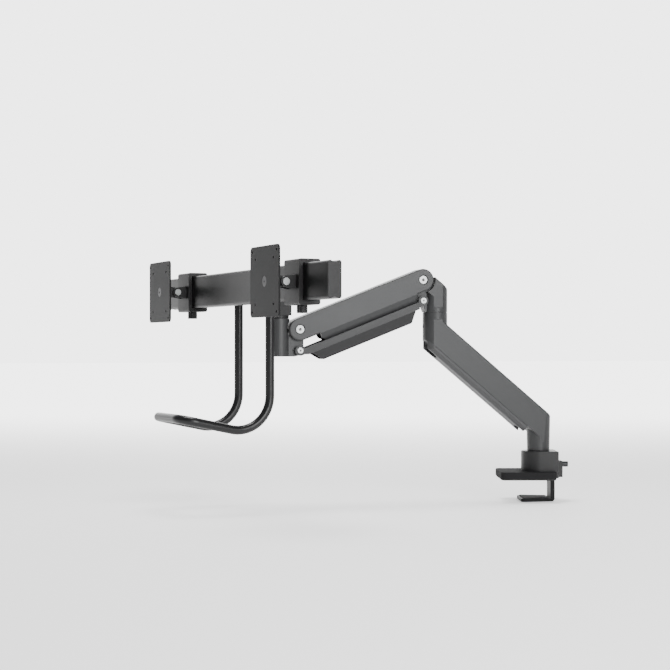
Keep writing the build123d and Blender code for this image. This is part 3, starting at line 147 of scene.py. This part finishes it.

# %% [markdown]
# ### Worn edges and painted edge highlight
# Where the rounded normal leaves the flat one, there is an edge. The mask marks where the edges are
# lightened: partly rubbed paint, and partly a painted highlight for the light that the rounded edges
# catch. A coarse noise breaks the band up, so the paint looks rubbed in places and not outlined.

# %%
wear_and_edge_highlight, g_in, g_out = start_group(
    "Worn edges and painted edge highlight",
    [("Vector", "NodeSocketVector", None), ("Radius", "NodeSocketFloat", 0.0008),
     ("Amount", "NodeSocketFloat", 0.5)],
    [("Mask", "NodeSocketFloat")])
edge = add_node(wear_and_edge_highlight, "ShaderNodeBevel", samples=4)
flat = add_node(wear_and_edge_highlight, "ShaderNodeNewGeometry")
dot = add_node(wear_and_edge_highlight, "ShaderNodeVectorMath", operation="DOT_PRODUCT")
band = add_node(wear_and_edge_highlight, "ShaderNodeMapRange", interpolation_type="SMOOTHSTEP")
band.inputs["From Min"].default_value = 0.995
band.inputs["From Max"].default_value = 0.86
patches = add_node(wear_and_edge_highlight, "ShaderNodeTexNoise", Scale=70.0, Detail=5.0, Roughness=0.7)
cut = add_node(wear_and_edge_highlight, "ShaderNodeMapRange")
cut.inputs["From Min"].default_value = 0.42
cut.inputs["From Max"].default_value = 0.68
joined = add_node(wear_and_edge_highlight, "ShaderNodeMath", operation="MULTIPLY")
scaled = add_node(wear_and_edge_highlight, "ShaderNodeMath", operation="MULTIPLY")
wear_and_edge_highlight.links.new(g_in.outputs["Radius"], edge.inputs["Radius"])
wear_and_edge_highlight.links.new(edge.outputs["Normal"], dot.inputs[0])
wear_and_edge_highlight.links.new(flat.outputs["True Normal"], dot.inputs[1])
wear_and_edge_highlight.links.new(dot.outputs["Value"], band.inputs["Value"])
wear_and_edge_highlight.links.new(g_in.outputs["Vector"], patches.inputs["Vector"])
wear_and_edge_highlight.links.new(patches.outputs["Fac"], cut.inputs["Value"])
wear_and_edge_highlight.links.new(band.outputs["Result"], joined.inputs[0])
wear_and_edge_highlight.links.new(cut.outputs["Result"], joined.inputs[1])
wear_and_edge_highlight.links.new(joined.outputs["Value"], scaled.inputs[0])
wear_and_edge_highlight.links.new(g_in.outputs["Amount"], scaled.inputs[1])
wear_and_edge_highlight.links.new(scaled.outputs["Value"], g_out.inputs["Mask"])

# %% [markdown]
# ### Handling marks
# Two noises of very different size give a slow drift of gloss over a hand's width and small spots
# within it. The group returns a value around zero, which each finish adds to its roughness.

# %%
marks, g_in, g_out = start_group(
    "Handling marks",
    [("Vector", "NodeSocketVector", None), ("Amount", "NodeSocketFloat", 0.1)],
    [("Drift", "NodeSocketFloat")])
slow = add_node(marks, "ShaderNodeTexNoise", Scale=14.0, Detail=2.0, Roughness=0.5)
fine_spots = add_node(marks, "ShaderNodeTexNoise", Scale=260.0, Detail=4.0, Roughness=0.65)
both = add_node(marks, "ShaderNodeMix", data_type="FLOAT")
both.inputs["Factor"].default_value = 0.35
centred = add_node(marks, "ShaderNodeMath", operation="SUBTRACT")
centred.inputs[1].default_value = 0.5
sized = add_node(marks, "ShaderNodeMath", operation="MULTIPLY")
marks.links.new(g_in.outputs["Vector"], slow.inputs["Vector"])
marks.links.new(g_in.outputs["Vector"], fine_spots.inputs["Vector"])
marks.links.new(slow.outputs["Fac"], both.inputs["A"])
marks.links.new(fine_spots.outputs["Fac"], both.inputs["B"])
marks.links.new(both.outputs["Result"], centred.inputs[0])
marks.links.new(centred.outputs["Value"], sized.inputs[0])
marks.links.new(g_in.outputs["Amount"], sized.inputs[1])
marks.links.new(sized.outputs["Value"], g_out.inputs["Drift"])


# %% [markdown]
# ### Colour fleck
# Paint and plastic are never one flat colour. A fine noise moves the brightness a few per cent
# either way; the group returns the factor that scales the colour.

# %%
fleck, g_in, g_out = start_group(
    "Colour fleck",
    [("Vector", "NodeSocketVector", None), ("Scale", "NodeSocketFloat", 1500.0),
     ("Tint", "NodeSocketFloat", 0.06)],
    [("Shade", "NodeSocketFloat")])
speck = add_node(fleck, "ShaderNodeTexNoise", Detail=2.0)
around = add_node(fleck, "ShaderNodeMapRange")
around.inputs["To Min"].default_value = -1.0
weighed = add_node(fleck, "ShaderNodeMath", operation="MULTIPLY_ADD")
weighed.inputs[2].default_value = 1.0
fleck.links.new(g_in.outputs["Vector"], speck.inputs["Vector"])
fleck.links.new(g_in.outputs["Scale"], speck.inputs["Scale"])
fleck.links.new(speck.outputs["Fac"], around.inputs["Value"])
fleck.links.new(around.outputs["Result"], weighed.inputs[0])
fleck.links.new(g_in.outputs["Tint"], weighed.inputs[1])
fleck.links.new(weighed.outputs["Value"], g_out.inputs["Shade"])


# %% [markdown]
# ## One recipe for every finish
# Paint, powder coat, moulded plastic, rubber and plated steel differ only in numbers: colour,
# sheen, the size and depth of their texture, and the lighter colour at their edges, which is partly
# rubbed wear and partly a painted highlight. The optional stretch scales the texture unevenly, so
# that it draws out into brushing or turning lines.


# %%
FLECK_FINER = 1.7
PAINT_SHEEN = 0.32


def finish(name, colour, rough, metal=0.0, scale=900.0, depth=0.00003, radius=0.0006,
           worn_and_lit_colour=None, wear_and_highlight_amount=0.4, drift=0.12, tint=0.06, stretch=(1.0, 1.0, 1.0), coat=0.0,
           sheen=PAINT_SHEEN):
    """A procedural finish on Object coordinates."""
    material = bpy.data.materials.new(name)
    material.use_nodes = True
    tree = material.node_tree
    shader = tree.nodes["Principled BSDF"]
    shader.inputs["Metallic"].default_value = metal
    shader.inputs["Specular IOR Level"].default_value = sheen
    shader.inputs["Coat Weight"].default_value = coat
    shader.inputs["Coat Roughness"].default_value = 0.25
    where = add_node(tree, "ShaderNodeTexCoord")
    drawn = add_node(tree, "ShaderNodeMapping", Scale=stretch)
    tree.links.new(where.outputs["Object"], drawn.inputs["Vector"])

    surface = use_group(tree, relief)
    surface.inputs["Scale"].default_value = scale
    surface.inputs["Depth"].default_value = depth
    surface.inputs["Radius"].default_value = radius
    tree.links.new(drawn.outputs["Vector"], surface.inputs["Vector"])
    tree.links.new(surface.outputs["Normal"], shader.inputs["Normal"])

    gloss = use_group(tree, marks)
    gloss.inputs["Amount"].default_value = drift
    tree.links.new(where.outputs["Object"], gloss.inputs["Vector"])
    level = add_node(tree, "ShaderNodeMath", operation="ADD", use_clamp=True)
    level.inputs[1].default_value = rough
    tree.links.new(gloss.outputs["Drift"], level.inputs[0])
    tree.links.new(level.outputs["Value"], shader.inputs["Roughness"])

    shade = use_group(tree, fleck)
    shade.inputs["Scale"].default_value = scale * FLECK_FINER
    shade.inputs["Tint"].default_value = tint
    tree.links.new(drawn.outputs["Vector"], shade.inputs["Vector"])
    body = add_node(tree, "ShaderNodeVectorMath", operation="SCALE")
    body.inputs[0].default_value = colour
    tree.links.new(shade.outputs["Shade"], body.inputs["Scale"])

    # Lighter colour at the edges: partly rubbed wear, partly a painted edge highlight.
    rubbed_and_lit_edge = use_group(tree, wear_and_edge_highlight)
    rubbed_and_lit_edge.inputs["Amount"].default_value = wear_and_highlight_amount
    tree.links.new(where.outputs["Object"], rubbed_and_lit_edge.inputs["Vector"])
    blend = add_node(tree, "ShaderNodeMix", data_type="RGBA")
    shown = worn_and_lit_colour or tuple(min(1.0, c * 2.2 + 0.02) for c in colour)
    blend.inputs["B"].default_value = (*shown, 1.0)
    tree.links.new(rubbed_and_lit_edge.outputs["Mask"], blend.inputs["Factor"])
    tree.links.new(body.outputs["Vector"], blend.inputs["A"])
    tree.links.new(blend.outputs["Result"], shader.inputs["Base Color"])
    return material


# %% [markdown]
# ## The finishes
# The arms wear a satin anthracite paint with a faint metallic fleck. The clamp is moulded plastic
# and powder-coated steel, the crossbar is black anodised extrusion with drawing lines along it, and
# the pins are zinc plated.

# %%
# Each worn colour below is the lighter edge colour: partly rubbed wear, partly a painted edge
# highlight.
arm_paint = finish("Anthracite arm paint", (0.034, 0.0348, 0.0357), 0.42, metal=0.2, scale=1500.0,
                   depth=0.000012, radius=0.001, worn_and_lit_colour=(0.30, 0.30, 0.31), wear_and_highlight_amount=0.35, tint=0.10)
cover_plastic = finish("Anthracite moulded cover", (0.042, 0.0425, 0.0435), 0.50, scale=2200.0,
                       depth=0.00002, wear_and_highlight_amount=0.2, tint=0.05)
channel_plastic = finish("Dark moulded cable cover", (0.021, 0.0212, 0.0218), 0.52, scale=2200.0,
                         depth=0.00002, wear_and_highlight_amount=0.2, tint=0.05, sheen=0.2)
link_paint = finish("Anthracite link paint", (0.026, 0.0264, 0.0272), 0.44, metal=0.15, scale=1300.0,
                    depth=0.000015, worn_and_lit_colour=(0.28, 0.28, 0.29), wear_and_highlight_amount=0.35, tint=0.08)
powder_black = finish("Black powder coat", (0.0075, 0.0075, 0.008), 0.46, scale=1100.0, depth=0.00004,
                      worn_and_lit_colour=(0.10, 0.10, 0.10), wear_and_highlight_amount=0.45, tint=0.12, sheen=0.1)
plate_black = finish("Matt black powder coat", (0.017, 0.017, 0.0175), 0.7, scale=1100.0, depth=0.00005,
                     worn_and_lit_colour=(0.10, 0.10, 0.10), wear_and_highlight_amount=0.45, tint=0.12, sheen=0.02)
tube_black = finish("Black tube coat", (0.0055, 0.0055, 0.006), 0.30, scale=900.0, depth=0.00002,
                    worn_and_lit_colour=(0.07, 0.07, 0.07), wear_and_highlight_amount=0.2, drift=0.16, tint=0.10)
cast_black = finish("Black cast coat", (0.008, 0.008, 0.0085), 0.48, scale=700.0, depth=0.00007,
                    worn_and_lit_colour=(0.12, 0.12, 0.12), wear_and_highlight_amount=0.5, tint=0.14)
moulded_black = finish("Black moulded plastic", (0.011, 0.011, 0.0115), 0.42, scale=1800.0,
                       depth=0.00005, wear_and_highlight_amount=0.25, tint=0.06)
bar_black = finish("Black anodised bar", (0.009, 0.009, 0.0095), 0.36, metal=0.5, scale=420.0,
                   depth=0.000012, stretch=(0.03, 1.0, 1.0), worn_and_lit_colour=(0.16, 0.16, 0.16), wear_and_highlight_amount=0.4)
rubber = finish("Grip rubber", (0.022, 0.022, 0.022), 0.85, scale=600.0, depth=0.00012,
                wear_and_highlight_amount=0.1, tint=0.10)
zinc = finish("Zinc plating", (0.33, 0.34, 0.34), 0.38, metal=1.0, scale=1600.0, depth=0.000006,
              worn_and_lit_colour=(0.60, 0.60, 0.59), wear_and_highlight_amount=0.2, drift=0.14, tint=0.05, sheen=0.5)
ground_steel = finish("Ground steel", (0.48, 0.48, 0.49), 0.30, metal=1.0, scale=500.0,
                      depth=0.00001, stretch=(1.0, 1.0, 9.0), worn_and_lit_colour=(0.7, 0.7, 0.7), wear_and_highlight_amount=0.2)
black_oxide = finish("Black oxide steel", (0.035, 0.035, 0.037), 0.36, metal=0.85, scale=1400.0,
                     depth=0.00001, worn_and_lit_colour=(0.25, 0.25, 0.25), wear_and_highlight_amount=0.4)
polymer = finish("Bearing polymer", (0.028, 0.028, 0.029), 0.36, scale=1500.0, depth=0.00001,
                 wear_and_highlight_amount=0.1)
gas_gloss = finish("Gas cylinder enamel", (0.012, 0.012, 0.013), 0.18, scale=700.0, depth=0.000006,
                   wear_and_highlight_amount=0.2, coat=0.6)
chrome = finish("Hard chrome", (0.72, 0.73, 0.74), 0.08, metal=1.0, scale=2500.0, depth=0.000002,
                wear_and_highlight_amount=0.0, drift=0.05, tint=0.02)

# %% [markdown]
# ## Which node wears what
# Every node of the frame gets one of the finishes. The loop clears what came with the frame.

# %%
dress = {
    arm_paint: ["lower_arm_body", "spring_arm_shell", "knuckle_body", "head_carrier_body"],
    link_paint: ["tie_link"],
    cover_plastic: ["lower_arm_cover"],
    channel_plastic: ["arm_cable_cover"],
    moulded_black: ["clamp_housing", "jaw_guide_block", "carrier_cap",
                    "crossbar_end_caps", "handle_plugs", "left_lock_knob", "right_lock_knob"],
    plate_black: ["base_plate", "base_cover"],
    powder_black: ["jaw_bracket", "left_vesa_plate", "right_vesa_plate"],
    tube_black: ["handle"],
    cast_black: ["head_post", "tilt_block", "handle_brackets", "left_slider", "right_slider",
                 "left_tilt_head", "right_tilt_head", "tension_block"],
    bar_black: ["crossbar"],
    rubber: ["base_pad", "jaw_pad"],
    zinc: ["elbow_main_pin", "elbow_link_pin", "head_main_pin", "head_link_pin", "gas_pin",
           "left_tilt_pin", "right_tilt_pin"],
    ground_steel: ["swivel_post", "elbow_spindle"],
    chrome: ["gas_rod"],
    gas_gloss: ["gas_cylinder"],
    black_oxide: ["post_bolt", "housing_screws", "clamp_lock_screw", "arm_set_screws",
                  "tension_screw", "head_retaining_screw", "tilt_bolt", "tilt_block_screws",
                  "handle_screws", "left_centre_screw", "right_centre_screw"],
    polymer: ["post_washer", "post_bushes", "elbow_washer", "elbow_bushes", "head_washer",
              "head_bushes"],
}
for material, names in dress.items():
    for name in names:
        mesh = nodes[name].data
        mesh.materials.clear()
        mesh.materials.append(material)

# %% [markdown]
# ## Drive sockets in the pins and screws
# The pins' caps and some of the screw heads are turned with a hexagon key. The socket is not cut: a
# thin dark hexagon with a bevelled rim, at most a fifth of a millimetre proud of the face, is painted
# shade that stands in for the recess.


# %%
KEY_THICK = 0.0003
KEY_RIM = 0.00008


def key_socket(name, place, across, body, face):
    """A thin dark hexagon of painted recess shade with a bevelled rim, turned by face and carried by a
    body.
    """
    bpy.ops.mesh.primitive_cylinder_add(vertices=6, radius=across / 2, depth=KEY_THICK)
    piece = bpy.context.object
    piece.name = name
    bpy.ops.object.mode_set(mode="EDIT")
    bpy.ops.mesh.select_all(action="SELECT")
    bpy.ops.mesh.bevel(offset=KEY_RIM, segments=2, affect="EDGES")
    bpy.ops.object.mode_set(mode="OBJECT")
    piece.data.transform(place @ face)
    piece.data.materials.append(painted_socket_shade)
    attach(piece, body)
    return piece


# Painted shade: the dark grey of the hexagons stands in for the shade inside the key recesses.
painted_socket_shade = finish("Socket shadow", (0.10, 0.10, 0.10), 0.6, scale=1200.0, depth=0.00001,
                     wear_and_highlight_amount=0.0)
FACE_SIDE = Matrix.Rotation(pi / 2, 4, "Y")
FACE_FRONT = Matrix.Rotation(pi / 2, 4, "X")
MAIN_CAP_FACE = 0.02065
LINK_CAP_FACE = 0.0233
TILT_BOLT_FACE = 0.0271
LINK_DROP = 0.0387
MAIN_KEY = 0.006
LINK_KEY = 0.004
sockets = []
for side, word in ((-1, "left"), (1, "right")):
    sockets += [
        (f"elbow_main_key_{word}", arm_side, (side * MAIN_CAP_FACE, 0, 0), MAIN_KEY, "knuckle",
         "bright_steel"),
        (f"head_main_key_{word}", head_side, (side * MAIN_CAP_FACE, 0, 0), MAIN_KEY, "head_carrier",
         "bright_steel"),
        (f"head_link_key_{word}", head_side, (side * LINK_CAP_FACE, 0, -LINK_DROP), LINK_KEY,
         "head_carrier", "bright_steel"),
        (f"tilt_bolt_key_{word}", bar_side, (side * TILT_BOLT_FACE, 0, 0), MAIN_KEY, "head_swivel",
         "dark_steel"),
    ]
for name, place, spot, across, body, slot in sockets:
    key_socket(name, place @ Matrix.Translation(spot), across, body, FACE_SIDE)
for side, word in ((-1, "left"), (1, "right")):
    key_socket(f"elbow_link_key_{word}", link_side @ Matrix.Translation((side * LINK_CAP_FACE, 0, 0)),
               LINK_KEY, "knuckle", FACE_SIDE)

# %% [markdown]
# ### Screws in the crossbar's back
# They face away from the monitors. The boxes of their nodes give where the groups end; the insets
# below give each screw: the plate's screws stand at the corners, the brackets' in a row.

# %%
SCREW_INSET = 0.005
BRACKET_INSET = 0.0036
BRACKET_PITCH = 0.0234
PROUD = 0.00005
PLATE_KEY = 0.005
BRACKET_KEY = 0.0035
# The hexagons here are also painted shade, for the screws' key recesses.
low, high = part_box("tilt_block_screws")
for i, x in enumerate((low[0] + SCREW_INSET, high[0] - SCREW_INSET)):
    for j, z in enumerate((low[2] + SCREW_INSET, high[2] - SCREW_INSET)):
        key_socket(f"plate_key_{i}{j}", Matrix.Translation((x, high[1] + PROUD, z)), PLATE_KEY,
                   "crossbar_set", FACE_FRONT)
low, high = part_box("handle_screws")
inner = BRACKET_INSET + BRACKET_PITCH
rows = (low[0] + BRACKET_INSET, low[0] + inner, high[0] - inner, high[0] - BRACKET_INSET)
for i, x in enumerate(rows):
    spot = Matrix.Translation((x, high[1] + PROUD, (low[2] + high[2]) / 2))
    key_socket(f"bracket_key_{i}", spot, BRACKET_KEY, "crossbar_set", FACE_FRONT)

# %% [markdown]
# ## Floor
# One wide pale sheet just under the clamp's jaw. It glows a little, and more with distance behind the
# arm. That light is what brightens the undersides of the arms.

# %%
FLOOR_GAP = 0.001
FLOOR_SIZE = 60.0
ground = cad_box[0][2] - FLOOR_GAP
bpy.ops.mesh.primitive_plane_add(size=FLOOR_SIZE, location=(0, 0, ground))
floor = bpy.context.object
floor.name = "floor"
pale = bpy.data.materials.new("Pale floor")
pale.use_nodes = True
floor_shader = pale.node_tree.nodes["Principled BSDF"]
floor_shader.inputs["Base Color"].default_value = (0.86, 0.86, 0.86, 1.0)
floor_shader.inputs["Roughness"].default_value = 0.7
floor_shader.inputs["Specular IOR Level"].default_value = 0.2
floor_shader.inputs["Emission Color"].default_value = (1.0, 1.0, 1.0, 1.0)
distance = add_node(pale.node_tree, "ShaderNodeVectorMath", operation="DOT_PRODUCT")
distance.inputs[1].default_value = behind
glow = add_node(pale.node_tree, "ShaderNodeMapRange", interpolation_type="SMOOTHSTEP")
glow.inputs["From Min"].default_value = 0.3
glow.inputs["From Max"].default_value = 4.0
glow.inputs["To Min"].default_value = 0.6
glow.inputs["To Max"].default_value = 3.6
spot = add_node(pale.node_tree, "ShaderNodeTexCoord")
pale.node_tree.links.new(spot.outputs["Object"], distance.inputs[0])
pale.node_tree.links.new(distance.outputs["Value"], glow.inputs["Value"])
pale.node_tree.links.new(glow.outputs["Result"], floor_shader.inputs["Emission Strength"])
floor.data.materials.append(pale)

# %% [markdown]
# ## Light
# The sky is brightest behind the arm as the camera sees it and dim in front of the monitor plates,
# so the arms' fronts are darker than their sides. Three soft boxes shape the rest: one above, one on
# the camera's side and a weak one at the left.

# %%
world = bpy.data.worlds.new("Studio")
bpy.context.scene.world = world
world.use_nodes = True
sky = world.node_tree
direction = add_node(sky, "ShaderNodeTexCoord")
facing = add_node(sky, "ShaderNodeVectorMath", operation="DOT_PRODUCT")
facing.inputs[1].default_value = behind
ramp = add_node(sky, "ShaderNodeValToRGB")
ramp.color_ramp.elements[0].position = 0.80
ramp.color_ramp.elements[0].color = (0.10, 0.10, 0.10, 1.0)
ramp.color_ramp.elements[1].position = 0.96
ramp.color_ramp.elements[1].color = (1.0, 1.0, 1.0, 1.0)
spread = add_node(sky, "ShaderNodeMapRange")
spread.inputs["From Min"].default_value = -1.0
sky.links.new(direction.outputs["Generated"], facing.inputs[0])
sky.links.new(facing.outputs["Value"], spread.inputs["Value"])
sky.links.new(spread.outputs["Result"], ramp.inputs["Fac"])
sky.links.new(ramp.outputs["Color"], sky.nodes["Background"].inputs["Color"])
sky.nodes["Background"].inputs["Strength"].default_value = 4.0


def soft_box(name, spot, aim, size, watts):
    """A square area light that points at a place."""
    bpy.ops.object.light_add(type="AREA", location=spot)
    lamp = bpy.context.object
    lamp.name = name
    lamp.data.shape = "SQUARE"
    lamp.data.size = size
    lamp.data.energy = watts
    lamp.rotation_euler = (Vector(aim) - Vector(spot)).to_track_quat("-Z", "Y").to_euler()
    return lamp


middle = [(a + b) / 2 for a, b in zip(*cad_box)]
soft_box("top box", (-0.3, -0.5, 2.4), middle, 1.0, 60.0)
soft_box("camera box", (2.785, -0.293, 0.9), middle, 1.4, 80.0)
soft_box("left strip", (-1.8, -1.6, 0.9), middle, 0.5, 1.2)

# %% [markdown]
# ## Camera
# A long lens at the height of the lower arm, level, with a slight upward shift.

# %%
bpy.ops.object.camera_add(location=(2.4075, -1.6065, 0.2448))
camera = bpy.context.object
camera.rotation_euler = (pi / 2, 0.0, VIEW_YAW)
camera.data.lens = 80.6
camera.data.shift_y = 0.0224
camera.data.dof.use_dof = False
bpy.context.scene.camera = camera
